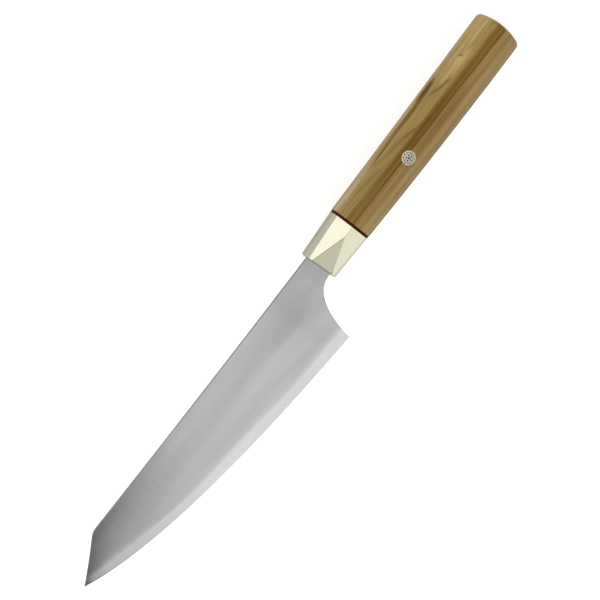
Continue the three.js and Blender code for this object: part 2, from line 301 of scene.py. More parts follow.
def ground_steel(name, colours, roughness):
    """Ground steel: fine grinding lines across the blade and faint cloudy patches.

    The eye sees a soft, even sheen that is broken by streaks from the spine to the edge. The lines of a
    fine belt are about 0.05 mm apart. They are drawn 0.6 mm apart, because finer ones don't show.
    """
    line_sizes = (0.6, 25, 25)
    line_share = 0.15
    cloud_sizes = (55, 9, 9)
    brightest = 0.85
    roughness_spread = 0.02
    material, tree, shader, in_mm = new_material(name, {"Metallic": 1.0})
    lines = uneven_marks(tree, in_mm, line_sizes, 3.0)
    clouds_and_painted_light = uneven_marks(tree, in_mm, cloud_sizes, 2.0)
    tone = add_node(tree, "ShaderNodeMath", {0: lines, 1: line_share, 2: clouds_and_painted_light}, operation="MULTIPLY_ADD")
    colour = add_node(tree, "ShaderNodeValToRGB", {"Fac": tone},
                      stops=[(NOISE_LOW, colours[0]), (brightest, colours[1])])
    tree.links.new(colour.outputs[0], shader.inputs["Base Color"])
    rough = add_node(tree, "ShaderNodeMapRange", {
        "Value": lines, "From Min": NOISE_LOW, "From Max": NOISE_HIGH,
        "To Min": roughness - roughness_spread, "To Max": roughness + roughness_spread})
    tree.links.new(rough.outputs[0], shader.inputs["Roughness"])
    return material, tree, shader, in_mm, colour


def painted_shade_towards_tip(tree, tones):
    """Tones along the blade from the tip on: painted shade that makes the steel darker towards the tip."""
    own = add_node(tree, "ShaderNodeTexCoord").outputs["Object"]
    along = add_node(tree, "ShaderNodeSeparateXYZ", {0: own})
    share = add_node(tree, "ShaderNodeMapRange", {
        "Value": along, "From Min": place(0, 0).x, "From Max": place(TONES_END, 0).x})
    return add_node(tree, "ShaderNodeValToRGB", {"Fac": share},
                    stops=[(at / TONES_END, colour) for at, colour in tones])


def satin_cladding_steel():
    """Soft stainless outer layers, satin ground, with a misty fringe where the core steel comes out."""
    fringe_height = 15
    fringe_stops = [(0.0, "ffffff"), (0.07, "c8c8c8"), (0.17, "707070"), (0.4, "404040"), (1.0, "000000")]
    through = 100
    material, tree, shader, in_mm, colour = ground_steel(
        "satin_cladding_steel", ("999999", "a6a6a6"), 0.17)
    # Painted sheen and painted shade as soft lighter and darker clouds on the steel: middle, half length and
    # half height, slant, colour and strength
    clouds_and_painted_light = [
        ((145, -8.3), (38, 8), -0.12, "b6b6b6", 0.36),
        ((59, 3.7), (36, 5), 0.0, "8c8c8c", 0.25),
        ((150, -0.5), (17, 5), 0.0, "8c8c8c", 0.25),
    ]
    for middle, half_sizes, slant, painted_tone, strength in clouds_and_painted_light:
        share = soft_spot(tree, in_mm, place(*middle) / MM, (*half_sizes, through), slant, strength)
        colour = add_node(tree, "ShaderNodeMix", {"Factor": share, UNDER: colour, OVER: linear(painted_tone)},
                          data_type="RGBA").outputs[MIXED]
    above = add_node(tree, "ShaderNodeAttribute", attribute_name=ABOVE_CORE)
    share = add_node(tree, "ShaderNodeMapRange", {"Value": above.outputs["Fac"], "From Max": fringe_height})
    fringe = add_node(tree, "ShaderNodeValToRGB", {"Fac": share}, stops=fringe_stops)
    # Painted shade: the faces, and the core steel in the fringe, darken towards the tip
    face_painted_shade = painted_shade_towards_tip(tree, FACE_PAINTED_SHADE)
    shaded = add_node(tree, "ShaderNodeMix", {"Factor": 1.0, UNDER: colour, OVER: face_painted_shade},
                      data_type="RGBA", blend_type="MULTIPLY").outputs[MIXED]
    core_tone_and_painted_shade = painted_shade_towards_tip(tree, CORE_TONE_AND_PAINTED_SHADE)
    misty = add_node(tree, "ShaderNodeMix", {"Factor": fringe, UNDER: shaded, OVER: core_tone_and_painted_shade},
                     data_type="RGBA").outputs[MIXED]
    tree.links.new(misty, shader.inputs["Base Color"])
    return material


def bright_core_steel():
    """Hard core steel, ground last: brighter than the cladding, with a slightly softer sheen."""
    material, tree, shader, _, colour = ground_steel("bright_core_steel", ("f4f4f4", "ffffff"), 0.2)
    # Painted shade: the core steel darkens towards the tip
    core_tone_and_painted_shade = painted_shade_towards_tip(tree, CORE_TONE_AND_PAINTED_SHADE)
    toned = add_node(tree, "ShaderNodeMix", {"Factor": 1.0, UNDER: core_tone_and_painted_shade, OVER: colour},
                     data_type="RGBA", blend_type="MULTIPLY").outputs[MIXED]
    tree.links.new(toned, shader.inputs["Base Color"])
    return material


def painted_shade_spine_steel():
    """Steel for the spine, darker and duller than the ground faces: painted shade along the spine."""
    return ground_steel("painted_shade_spine_steel", ("3c3c3d", "4a4a4a"), 0.45)[0]


def nickel_silver():
    """Nickel silver, polished by hand: pale, with a hint of straw, flat mirrors with fine hairlines.

    Real hairlines are a few micrometres wide. They are drawn 0.3 mm apart so that they show. The slow
    waves are what polishing by hand leaves on a flat facet.
    """
    hairline_sizes = (9, 0.3, 0.3)
    hairline_relief = 0.02
    wave_sizes = (9, 9, 9)
    wave_depth = 0.06
    material, tree, shader, in_mm = new_material("polished_nickel_silver", {
        "Metallic": 1.0, "Specular Tint": linear("d6d6ce")})
    hairlines = uneven_marks(tree, in_mm, hairline_sizes, 4.0)
    uneven_finish(tree, shader, hairlines, ("a4a290", "aba997"), (0.12, 0.2), (NOISE_LOW, NOISE_HIGH))
    waves = uneven_marks(tree, in_mm, wave_sizes, 0.0)
    relief = add_node(tree, "ShaderNodeMath", {0: hairlines, 1: hairline_relief, 2: waves},
                      operation="MULTIPLY_ADD")
    bump = add_node(tree, "ShaderNodeBump", {"Height": relief, "Strength": 1.0, "Distance": wave_depth * MM})
    tree.links.new(bump.outputs[0], shader.inputs["Normal"])
    return material


def red_fibre():
    """Vulcanised fibre: pressed cotton paper, dyed dark red all through. Dull, with a faint felted mottle."""
    fibre_sizes = (0.4, 0.4, 0.4)
    felt_depth = 0.02
    material, tree, shader, in_mm = new_material("dark_red_fibre", {"IOR": 1.5, "Specular IOR Level": 0.03})
    mottle = uneven_marks(tree, in_mm, fibre_sizes, 4.0)
    uneven_finish(tree, shader, mottle, ("3a0f03", "481204"), (0.5, 0.65))
    bump = add_node(tree, "ShaderNodeBump", {"Height": mottle, "Strength": 0.3, "Distance": felt_depth * MM})
    tree.links.new(bump.outputs[0], shader.inputs["Normal"])
    return material


def striped_hardwood():
    """Oiled hardwood with dark growth stripes, cut so that the stripes lie almost flat on the upper facet.

    There they show as one broad dark stripe along the ridge and a slow figure above it. The lower facet
    cuts them steeply, so it shows narrow straight streaks. The layers are shells round a pith that lies
    outside the handle, and the same layers come out on the other side, on the flats and on the butt.
    """
    pith_distance = 40
    pith_direction = Vector((0, -0.72, -0.69))
    layers_low = -12
    layers_high = 8
    waver_sizes = (45, 4, 4)
    waver_reach = (12, 0.9, 0.9)
    noise_middle = (0.5, 0.5, 0.5)
    streak_sizes = (24, 0.6, 0.6)
    pore_sizes = (4, 0.28, 0.28)
    patch_sizes = (70, 9, 9)
    streak_relief = 0.5
    pore_depth = 0.04
    material, tree, shader, _ = new_material("striped_hardwood", {"IOR": 1.45, "Specular IOR Level": 0.13})

    ridge_start = place(HANDLE_FRONT["x"], HANDLE_FRONT["ridge"], HANDLE_FRONT["half"])
    ridge_end = place(HANDLE_BUTT["x"], HANDLE_BUTT["ridge"], HANDLE_BUTT["half"])
    run = ridge_end - ridge_start
    turn = Euler((0, -math.atan2(run.z, run.x), math.atan2(run.y, run.x)))
    own = add_node(tree, "ShaderNodeTexCoord").outputs["Object"]
    grain = add_node(tree, "ShaderNodeMapping", {"Vector": own, "Location": ridge_start, "Rotation": turn,
                                                 "Scale": (MM, MM, MM)}, vector_type="TEXTURE")

    waver = uneven_marks(tree, grain, waver_sizes, 3.0)
    off_middle = add_node(tree, "ShaderNodeVectorMath", {0: waver.outputs["Color"], 1: noise_middle},
                          operation="SUBTRACT")
    shift = add_node(tree, "ShaderNodeVectorMath", {0: off_middle, 1: waver_reach}, operation="MULTIPLY")
    wavering = add_node(tree, "ShaderNodeVectorMath", {0: grain, 1: shift})
    from_pith = add_node(tree, "ShaderNodeVectorMath", {0: wavering, 1: pith_direction * pith_distance},
                         operation="SUBTRACT")
    square_on = add_node(tree, "ShaderNodeVectorMath", {0: from_pith, 1: (0, 1, 1)}, operation="MULTIPLY")
    radius = add_node(tree, "ShaderNodeVectorMath", {0: square_on}, operation="LENGTH")
    layer = add_node(tree, "ShaderNodeMath", {0: radius.outputs["Value"], 1: pith_distance},
                     operation="SUBTRACT")
    layer_share = add_node(tree, "ShaderNodeMapRange", {
        "Value": layer, "From Min": layers_low, "From Max": layers_high})
    # Stripes by the distance from the layer that comes out at the ridge
    stripes = [
        (-12, "5f4a26"), (-9.6, "6e5732"), (-8.7, "876d42"), (-8.1, "9c8256"), (-7.4, "947a4c"),
        (-6.0, "9d8456"), (-4.9, "977e52"), (-4.0, "85693d"), (-3.3, "8b7040"), (-2.0, "907544"),
        (-0.28, "8a6e3f"), (0.0, "694b0c"), (0.33, "6c4f12"), (0.67, "7c5e26"), (1.0, "77591f"),
        (1.26, "684b0b"), (1.5, "77591f"), (2.0, "7e612e"), (2.45, "957a44"), (3.6, "977d47"),
        (4.1, "90743e"), (4.6, "997f4a"), (5.6, "947a45"), (8, "947a45"),
    ]
    layer_span = layers_high - layers_low
    tone = add_node(tree, "ShaderNodeValToRGB", {"Fac": layer_share},
                    stops=[((at - layers_low) / layer_span, colour) for at, colour in stripes])

    # Streaks, a pale swirl beside a small knot and a painted sheen along the top of the front end: middle from
    # the front end of the ridge, half sizes, slant across the facet, colour and strength
    markings_and_painted_sheen = [
        ((110, 10, -4), (45, 5.5, 7), 0.0, "b4975f", 0.55),
        ((58, 2.2, -0.7), (30, 2.2, 2.0), 0.0, "5f4208", 0.5),
        ((60, -2.7, -0.9), (32, 2.8, 2.6), 0.0, "7a5a24", 0.6),
        ((20, 6.2, -2.0), (16, 1.0, 1.4), -0.1, "7d6130", 0.5),
        ((33, 7.4, -2.4), (15, 1.0, 1.4), -0.2, "7a5d2a", 0.55),
        ((42, 6.4, -2.1), (13, 1.2, 1.4), -0.24, "75571f", 0.5),
        ((47.6, 5.1, -1.7), (8, 1.0, 1.2), -0.3, "6c4f14", 0.5),
        ((55, 7.0, -2.3), (13, 2.2, 1.8), -0.05, "a0864e", 0.3),
        ((33, 9.6, -4.4), (16, 0.85, 1.4), 0.04, "64460e", 0.85),
        ((54, 10.2, -4.75), (20, 1.5, 2.2), 0.0, "64460c", 0.85),
        ((67.2, 11.0, -6.0), (10.5, 1.7, 3.0), -0.1, "5c3e08", 1.0),
        ((72.5, 7.4, -2.4), (10, 1.2, 1.3), -0.33, "6a4c12", 0.6),
        ((84, 7.7, -2.5), (15, 2.2, 1.8), -0.06, "b89b62", 0.85),
        ((87, 8.4, -2.75), (4.0, 1.5, 1.5), 0.0, "c6aa74", 0.6),
        ((89.3, 8.5, -2.8), (1.3, 0.8, 1.0), 1.0, "64491c", 0.65),
        ((103, 8.9, -2.9), (10, 1.0, 1.0), 0.0, "bc9f68", 0.75),
        # Painted sheen: a pale grey strip along the top of the front end
        ((6, 10.4, -5.6), (28, 2.4, 3.2), 0.0, "c4bca0", 0.4),
        ((8, 1.9, -0.6), (24, 2.6, 2.0), 0.0, "9c7e4c", 0.25),
    ]
    for middle, half_sizes, slant, colour, strength in markings_and_painted_sheen:
        share = soft_spot(tree, wavering, middle, half_sizes, slant, strength)
        tone = add_node(tree, "ShaderNodeMix", {"Factor": share, UNDER: tone, OVER: linear(colour)},
                        data_type="RGBA").outputs[MIXED]

    streaks = uneven_marks(tree, grain, streak_sizes, 3.0)
    pores = uneven_marks(tree, grain, pore_sizes, 1.0)
    patches = uneven_marks(tree, grain, patch_sizes, 1.0)
    # Fine grain: the marks, the span of them that counts, and how light the wood is at its two ends
    fine_grain = [
        (streaks, (0.25, 0.75), (0.76, 1.26)),
        (pores, (0.28, 0.42), (0.85, 1.0)),
        (patches, (0.25, 0.75), (0.71, 0.94)),
    ]
    streak_tone, pore_tone, patch_tone = [
        add_node(tree, "ShaderNodeMapRange", {"Value": marks, "From Min": span[0], "From Max": span[1],
                                              "To Min": light[0], "To Max": light[1]})
        for marks, span, light in fine_grain]
    fine = add_node(tree, "ShaderNodeMath", {0: streak_tone, 1: pore_tone}, operation="MULTIPLY")
    shade = add_node(tree, "ShaderNodeMath", {0: fine, 1: patch_tone}, operation="MULTIPLY")
    colour = add_node(tree, "ShaderNodeVectorMath", {0: tone, "Scale": shade}, operation="SCALE")
    tree.links.new(colour.outputs[0], shader.inputs["Base Color"])
    rough = add_node(tree, "ShaderNodeMapRange", {"Value": streaks, "To Min": 0.36, "To Max": 0.5})
    tree.links.new(rough.outputs[0], shader.inputs["Roughness"])
    relief = add_node(tree, "ShaderNodeMath", {0: streaks, 1: streak_relief, 2: pore_tone},
                      operation="MULTIPLY_ADD")
    bump = add_node(tree, "ShaderNodeBump", {"Height": relief, "Strength": 0.5, "Distance": pore_depth * MM})
    tree.links.new(bump.outputs[0], shader.inputs["Normal"])
    return material


def drawn_tube_metal(name, colours):
    """Thin drawn tube, ground flush with the wood: bright metal with scratches from the last grit."""
    scratch_sizes = (3, 0.1, 0.1)
    material, tree, shader, in_mm = new_material(name, {"Metallic": 1.0})
    scratches = uneven_marks(tree, in_mm, scratch_sizes, 2.0)
    uneven_finish(tree, shader, scratches, colours, (0.2, 0.34))
    return material


def cast_resin(name, colours, roughness):
    """Epoxy that set in place: smooth and slightly glossy, with small swirls of uneven colour."""
    swirl_size = 0.6
    dullest = roughness + 0.1
    material, tree, shader, in_mm = new_material(name, {"IOR": 1.5, "Specular IOR Level": 0.1})
    swirls = add_node(tree, "ShaderNodeTexNoise", {"Vector": in_mm, "Scale": 1 / swirl_size, "Detail": 2.0,
                                                   "Distortion": 1.0})
    colour = uneven_finish(tree, shader, swirls, colours, (roughness, dullest))
    return material, tree, shader, in_mm, colour


def pale_pin_resin():
    """Epoxy with a pale filler, poured between the straws: cream, and grey with metal dust in the middle."""
    dusty = INNER_RING["radius"] + INNER_STRAW["radius"]
    dust_fade = 0.3
    most_dust = 0.7
    material, tree, shader, in_mm, cream = cast_resin("pale_pin_resin", ("948a6a", "a79e80"), 0.35)
    from_axis = add_node(tree, "ShaderNodeVectorMath", {0: in_mm, 1: place(*PIN_CENTRE) / MM},
                         operation="SUBTRACT")
    square_on = add_node(tree, "ShaderNodeVectorMath", {0: from_axis, 1: (1, 1, 0)}, operation="MULTIPLY")
    distance = add_node(tree, "ShaderNodeVectorMath", {0: square_on}, operation="LENGTH")
    dust = add_node(tree, "ShaderNodeMapRange", {
        "Value": distance.outputs["Value"], "From Min": dusty - dust_fade, "From Max": dusty + dust_fade,
        "To Min": most_dust, "To Max": 0.0})
    colour = add_node(tree, "ShaderNodeMix", {"Factor": dust, UNDER: cream, OVER: linear("959890")},
                      data_type="RGBA").outputs[MIXED]
    tree.links.new(colour, shader.inputs["Base Color"])
    return material


def studio_paper():
    """White paper on a light table: matte, slightly uneven, lit from below, less so just behind the knife."""
    patch_sizes = (40, 40, 40)
    full_glow = 1.1
    dimming = 0.57
    dim_sizes = (600, 600, 600)
    dim_start = -10
    dim_full = 5
    material, tree, shader, in_mm = new_material("studio_paper", {
        "IOR": 1.45, "Roughness": 0.9, "Emission Color": linear("ffffff")})
    across = add_node(tree, "ShaderNodeSeparateXYZ", {0: in_mm})
    behind = add_node(tree, "ShaderNodeMapRange", {
        "Value": across.outputs["Y"], "From Min": dim_start, "From Max": dim_full})
    near = soft_spot(tree, in_mm, (0, 0, 0), dim_sizes, 0, dimming)
    dimmed = add_node(tree, "ShaderNodeMath", {0: behind, 1: near}, operation="MULTIPLY")
    glow = add_node(tree, "ShaderNodeMath", {0: full_glow, 1: dimmed}, operation="SUBTRACT")
    tree.links.new(glow.outputs[0], shader.inputs["Emission Strength"])
    patches = uneven_marks(tree, in_mm, patch_sizes, 2.0)
    colour = add_node(tree, "ShaderNodeValToRGB", {"Fac": patches},
                      stops=[(NOISE_LOW, "c1c1c0"), (NOISE_HIGH, "c3c3c2")])
    tree.links.new(colour.outputs[0], shader.inputs["Base Color"])
    return material


# Mesh making

def keep(name, bm, material, node=None):
    """Turn a mesh into an object and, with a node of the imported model, into the piece that stands for it."""
    bmesh.ops.recalc_face_normals(bm, faces=bm.faces)
    mesh = bpy.data.meshes.new(name)
    bm.to_mesh(mesh)
    bm.free()
    mesh.polygons.foreach_set("use_smooth", [True] * len(mesh.polygons))
    piece = bpy.data.objects.new(name, mesh)
    bpy.context.scene.collection.objects.link(piece)
    mesh.materials.append(material)
    if node:
        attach(piece, "root")
        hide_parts(node)
    return piece


def neighbours(ring):
    """Each point of a ring with the next one, all the way round."""
    return zip(ring, ring[1:] + ring[:1])


def join_rings(bm, a, b):
    """Faces all the way round between two rings of as many points."""
    for (a_here, a_next), (b_here, b_next) in zip(neighbours(a), neighbours(b)):
        bm.faces.new((a_here, a_next, b_next, b_here))


def mirrored(points):
    """The points of one side of a cross-section on its other side, in the opposite order."""
    return [(across, -z) for across, z in reversed(points)]


def circle_points(centre, radius, steps, depth):
    """Points on a circle that lies flat at one depth."""
    points = []
    for i in range(steps):
        angle = 2 * math.pi * i / steps
        x = centre.x + radius * math.cos(angle)
        y = centre.y + radius * math.sin(angle)
        points.append(place(x, y, depth))
    return points


def settle(piece):
    """Make what a piece's modifiers give its own mesh, and take the modifiers off."""
    shaped = piece.evaluated_get(bpy.context.evaluated_depsgraph_get())
    mesh = bpy.data.meshes.new_from_object(shaped)
    piece.modifiers.clear()
    piece.data = mesh


def soften(piece, width):
    """Round the weighted edges of a piece, up to a width, and settle it."""
    bevel = piece.modifiers.new("softened", "BEVEL")
    bevel.limit_method = "WEIGHT"
    bevel.width = width * MM
    bevel.segments = ROUNDED_SEGMENTS
    settle(piece)


def cut(piece, cutter, operation="DIFFERENCE"):
    """Cut one body out of a piece, or keep only what they share, and delete that body."""
    opening = piece.modifiers.new("cut", "BOOLEAN")
    opening.operation = operation
    opening.solver = "EXACT"
    opening.object = cutter
    settle(piece)
    bpy.data.objects.remove(cutter)


def even_faces(piece):
    """Let the large faces of a piece decide how it is shaded beside its rounded edges."""
    weighted = piece.modifiers.new("even_faces", "WEIGHTED_NORMAL")
    weighted.keep_sharp = True


def even_facets(piece):
    """Shade flat facets flat and rounded edges round."""
    piece.data.set_sharp_from_angle(angle=FACET_ANGLE)
    even_faces(piece)


def box_cutter(low, high):
    """A box between two corners, to cut with."""
    bm = bmesh.new()
    corners = [bm.verts.new(place(*corner)) for corner in product(*zip(low, high))]
    bmesh.ops.convex_hull(bm, input=corners)
    return keep("cutter", bm, None)


def bore_cutter():
    """A round bar where the pin goes through, to cut with."""
    bm = bmesh.new()
    radius = PIN_RADIUS + PIN_BORE_CLEARANCE
    far = 2 * HANDLE_BUTT["half"]
    for depth in (-far, far):
        for point in circle_points(PIN_CENTRE, radius, PIN_STEPS, depth):
            bm.verts.new(point)
    bmesh.ops.convex_hull(bm, input=bm.verts)
    bmesh.ops.dissolve_limit(bm, angle_limit=CUTTER_FLATNESS, verts=bm.verts, edges=bm.edges)
    return keep("cutter", bm, None)


# Blade

def curve(start, pulls, end, steps):
    """Points on a curve with one or two pulls."""
    if len(pulls) == 1:
        pulls = [start.lerp(pulls[0], 2 / 3), end.lerp(pulls[0], 2 / 3)]
    return interpolate_bezier(start, *pulls, end, steps + 1)


clip_end = CLIP_CORNER * (1 - CLIP_ROUNDING / CLIP_CORNER.length)
spine_start = Vector((CLIP_CORNER.x + CLIP_ROUNDING, CLIP_CORNER.y))
neck_top = Vector((BLADE_LENGTH, NECK_HIGH))
neck_bottom = Vector((BLADE_LENGTH, NECK_LOW))
edge_line = curve(TIP, EDGE_PULLS, HEEL, EDGE_STEPS)
choil_line = curve(HEEL, CHOIL_PULLS, neck_bottom, CHOIL_STEPS)
clip_line = curve(TIP, [CLIP_PULL], clip_end, CLIP_STEPS)
clip_corner_line = curve(clip_end, [CLIP_CORNER], spine_start, CLIP_CORNER_STEPS)
spine_line = curve(spine_start, [SPINE_PULL], neck_top, SPINE_STEPS)
top_line = clip_line + clip_corner_line + spine_line


def height(line, x):
    """Height of an outline where it passes x, or of its end beyond that."""
    for a, b in zip(line, line[1:]):
        if a.x <= x <= b.x and b.x > a.x:
            return mix(a.y, b.y, (x - a.x) / (b.x - a.x))
    return line[-1].y


def edge_height(x):
    """Height of the cutting edge, carried on straight behind the heel."""
    if x <= HEEL.x:
        return height(edge_line, x)
    before = edge_line[-2]
    return HEEL.y + (x - HEEL.x) * (HEEL.y - before.y) / (HEEL.x - before.x)


def wedge_height(x):
    """Height of the steep wedge above the cutting edge, a little uneven as ground by hand."""
    return BAND_HEIGHT + BAND_SWELL * math.cos(2 * math.pi * (x - BAND_SWELL_START) / BAND_SWELL_LENGTH)


def core_share(x):
    """How much of its full thickness and bare height the core has: both run out towards the tip."""
    return 1 - (1 - min(x / BAND_RUNOUT, 1)) ** 2


def core_half(x):
    """Half the thickness of the core inside the claddings."""
    if x <= TIP.x:
        return KEEN_HALF
    return mix(EDGE_HALF, CORE_HALF, core_share(x))


def band_top(x):
    """Height where the core steel goes in under the cladding."""
    return edge_height(x) + wedge_height(x) * core_share(x)


def lowest(x):
    """Height of the underside: cutting edge, choil, neck or tang."""
    if x <= HEEL.x:
        return height(edge_line, x)
    if x <= BLADE_LENGTH:
        return height(choil_line, x)
    if x <= TANG_SHOULDER:
        return NECK_LOW
    share = (x - TANG_SHOULDER) / (TANG_END - TANG_SHOULDER)
    return TANG_MIDDLE - mix(TANG_FRONT_HALF, TANG_END_HALF, share)


def highest(x):
    """Height of the upper side: clip, spine, neck or tang."""
    if x <= BLADE_LENGTH:
        return height(top_line, x)
    if x <= TANG_SHOULDER:
        return NECK_HIGH
    return 2 * TANG_MIDDLE - lowest(x)


def half_thickness(x, y):
    """Half the thickness of the ground blade at a height."""
    edge = edge_height(x)
    band = edge + wedge_height(x)
    if y < band:
        return mix(EDGE_HALF, CORE_HALF, max(y - edge, 0) / (band - edge))
    spine = mix(CLIP_HALF, TIP_HALF, (1 - x / CLIP_CORNER.x) ** 2)
    if x > CLIP_CORNER.x:
        spine = mix(CLIP_HALF, NECK_HALF, min((x - CLIP_CORNER.x) / (BLADE_LENGTH - CLIP_CORNER.x), 1))
    share = (y - band) / (NECK_HIGH - band)
    return mix(CORE_HALF, spine, share) + CONVEX_GRIND * bow(share)


# Where cross-sections are taken, from the tip along the edge, the choil and the tang
keen_end = mix(choil_line[0].x, choil_line[1].x, KEEN_BEVEL / (choil_line[1].y - choil_line[0].y))
stations = [p.x for p in edge_line + clip_corner_line + choil_line] + [keen_end]
stations = sorted(set(stations)) + [TANG_SHOULDER, TANG_SHOULDER + SHOULDER_STEP, TANG_END]


def core_ring(x):
    """Cross-section of the core, from the cutting edge or the choil up its left side and down the other."""
    low = lowest(x)
    top = highest(x)
    band = min(max(band_top(x), low), top)
    bevel = min(KEEN_BEVEL, (band_top(x) - edge_height(x)) / 2)
    keen = max(edge_height(x) + bevel, low)
    left = [(y, min(half_thickness(x, y), core_half(x))) for y in (low, keen, band, top)]
    if x <= HEEL.x:
        left[0] = (low, KEEN_HALF)
    return left + mirrored(left)


def cladding_ring(x):
    """Cross-section of a cladding, from the core round its ground face and back to the core."""
    inner = core_half(x) + WELD_GAP
    low = max(lowest(x), band_top(x))
    top = highest(x)

    def face(y):
        return max(half_thickness(x, y), inner)

    def corner(y, upward):
        thick = face(y)
        r = min(SPINE_ROUNDING, (thick - inner) / 2, (top - low) / 4)
        turns = [math.pi / 2 * i / ROUNDING_STEPS for i in range(ROUNDING_STEPS + 1)]
        return r, [(y + upward * r * (1 - math.cos(a)), thick - r * (1 - math.sin(a))) for a in turns]

    low_round, low_corner = corner(low, 1)
    top_round, top_corner = corner(top, -1)
    rows = [mix(low + low_round, top - top_round, k / FACE_ROWS) for k in range(1, FACE_ROWS)]
    return [(low, inner)] + low_corner + [(y, face(y)) for y in rows] + top_corner[::-1] + [(top, inner)]


def blade_layer(name, material, spine, node, xs, ring, creases):
    """Join closed cross-sections into one layer of the blade. Creases are the ring's sharp corners."""
    spine_facing = 0.35
    bm = bmesh.new()
    above = bm.verts.layers.float.new(ABOVE_CORE)
    rings = []
    for x in xs:
        points = ring(x)
        verts = [bm.verts.new(place(x, y, z)) for y, z in points]
        for vert, (y, _) in zip(verts, points):
            vert[above] = (y - band_top(x)) / height(FRINGE_GROWTH, x)
        rings.append(verts)
    for a, b in zip(rings, rings[1:]):
        join_rings(bm, a, b)
        for j in creases:
            bm.edges.get((a[j], b[j])).smooth = False
    for end in (rings[0], rings[-1]):
        bm.faces.new(end)
    bmesh.ops.remove_doubles(bm, verts=bm.verts, dist=SAME_POINT)
    bmesh.ops.dissolve_degenerate(bm, dist=NO_LENGTH, edges=bm.edges)
    for edge in bm.edges:
        if edge.calc_face_angle(0) > BLADE_CREASE_ANGLE:
            edge.smooth = False
    piece = keep(name, bm, material, node)
    cut(piece, bore_cutter())
    # Faces turned towards the spine get the dark spine steel as painted shade
    piece.data.materials.append(spine)
    for face in piece.data.polygons:
        if face.normal.y > spine_facing:
            face.material_index = 1
    even_faces(piece)


def make_blade(satin, core, spine):
    """Core and claddings, each in one piece with its layer of the tang."""
    every_corner = range(len(core_ring(HEEL.x)))
    blade_layer("core_layer", core, spine, "blade_core", stations, core_ring, every_corner)
    clad = [x for x in stations if x <= HEEL.x or lowest(x) >= band_top(x)]
    from_low = [0, 1, ROUNDING_STEPS + 1]
    corners = from_low + [len(cladding_ring(HEEL.x)) - 1 - j for j in from_low]
    blade_layer("left_cladding", satin, spine, "blade_cladding_left", clad,
                cladding_ring, corners)
    blade_layer("right_cladding", satin, spine, "blade_cladding_right", clad,
                lambda x: mirrored(cladding_ring(x)), corners)


# Grip

def handle_share(x):
    """How far along the handle a place is, from 0 at its front to 1 at its butt."""
    return (x - HANDLE_FRONT["x"]) / (HANDLE_BUTT["x"] - HANDLE_FRONT["x"])


def between(share):
    """Handle section part of the way from the front to the butt, with the belly on its underside."""
    s = {key: mix(HANDLE_FRONT[key], HANDLE_BUTT[key], share) for key in ("x", "lean", "ridge", "half")}
    belly = BELLY_DEPTH * bow(share)
    s["up"] = [mix(a, b, share) for a, b in zip(HANDLE_FRONT["up"], HANDLE_BUTT["up"])]
    s["down"] = [mix(a, b, share) + belly for a, b in zip(HANDLE_FRONT["down"], HANDLE_BUTT["down"])]
    return s


def ring_corners(s):
    """Ten corners of a section as (rise above the ridge, z), from the top left one round to the right."""
    def shoulder(rises):
        return s["half"] - SIDE_SLOPE * rises[0]

    def flat(rises):
        return shoulder(rises) - SHOULDER_SLOPE * (rises[1] - rises[0])

    up = s["up"]
    down = s["down"]
    left = [(up[1], flat(up)), (up[0], shoulder(up)), (0, s["half"]),
            (-down[0], shoulder(down)), (-down[1], flat(down))]
    return left + mirrored(left)


def on_section(s, rise, z):
    """A point of a section, which may lean towards the blade as it rises."""
    return place(s["x"] - s["lean"] * rise, s["ridge"] + rise, z)


def faceted_block(name, material, node, slot, front, back, top_rim, rim, edge):
    """A block with flat facets through its corner points and rounded edges.

    Its front rim is rounded by one width at the top and by another elsewhere. The edges between its
    facets get a third one, and the ridges on its sides stay nearly sharp.
    """
    facing_up = 0.5
    balanced = 0.05
    bm = bmesh.new()
    for point in front + back:
        bm.verts.new(point)
    bmesh.ops.convex_hull(bm, input=bm.verts)
    bmesh.ops.dissolve_limit(bm, angle_limit=FACET_FLATNESS, verts=bm.verts, edges=bm.edges)
    weight = bm.edges.layers.float.new(BEVEL_WEIGHT)
    rim_x = max(p.x for p in front)
    for e in bm.edges:
        at_front = all(v.co.x <= rim_x + ON_RIM for v in e.verts)
        at_top = any(f.normal.y > facing_up for f in e.link_faces)
        at_ridge = abs(sum(f.normal.y for f in e.link_faces)) < balanced
        width = RIDGE_EDGE if at_ridge else edge
        if at_front:
            width = top_rim if at_top else rim
        e[weight] = width / top_rim
    piece = keep(name, bm, material, node)
    soften(piece, top_rim)
    return piece


def cut_tang_way(piece):
    """Cut the way through for the neck and the tang of the blade."""
    wide = NECK_HALF + TANG_CLEARANCE
    cut(piece, box_cutter((BLADE_LENGTH - CUT_OVERRUN, NECK_LOW - TANG_CLEARANCE, -wide),
                          (TANG_SHOULDER + TANG_CLEARANCE, NECK_HIGH + TANG_CLEARANCE, wide)))
    reach = TANG_FRONT_HALF + TANG_CLEARANCE
    cut(piece, box_cutter((BLADE_LENGTH, TANG_MIDDLE - reach, -wide),
                          (SLOT_END, TANG_MIDDLE + reach, wide)))


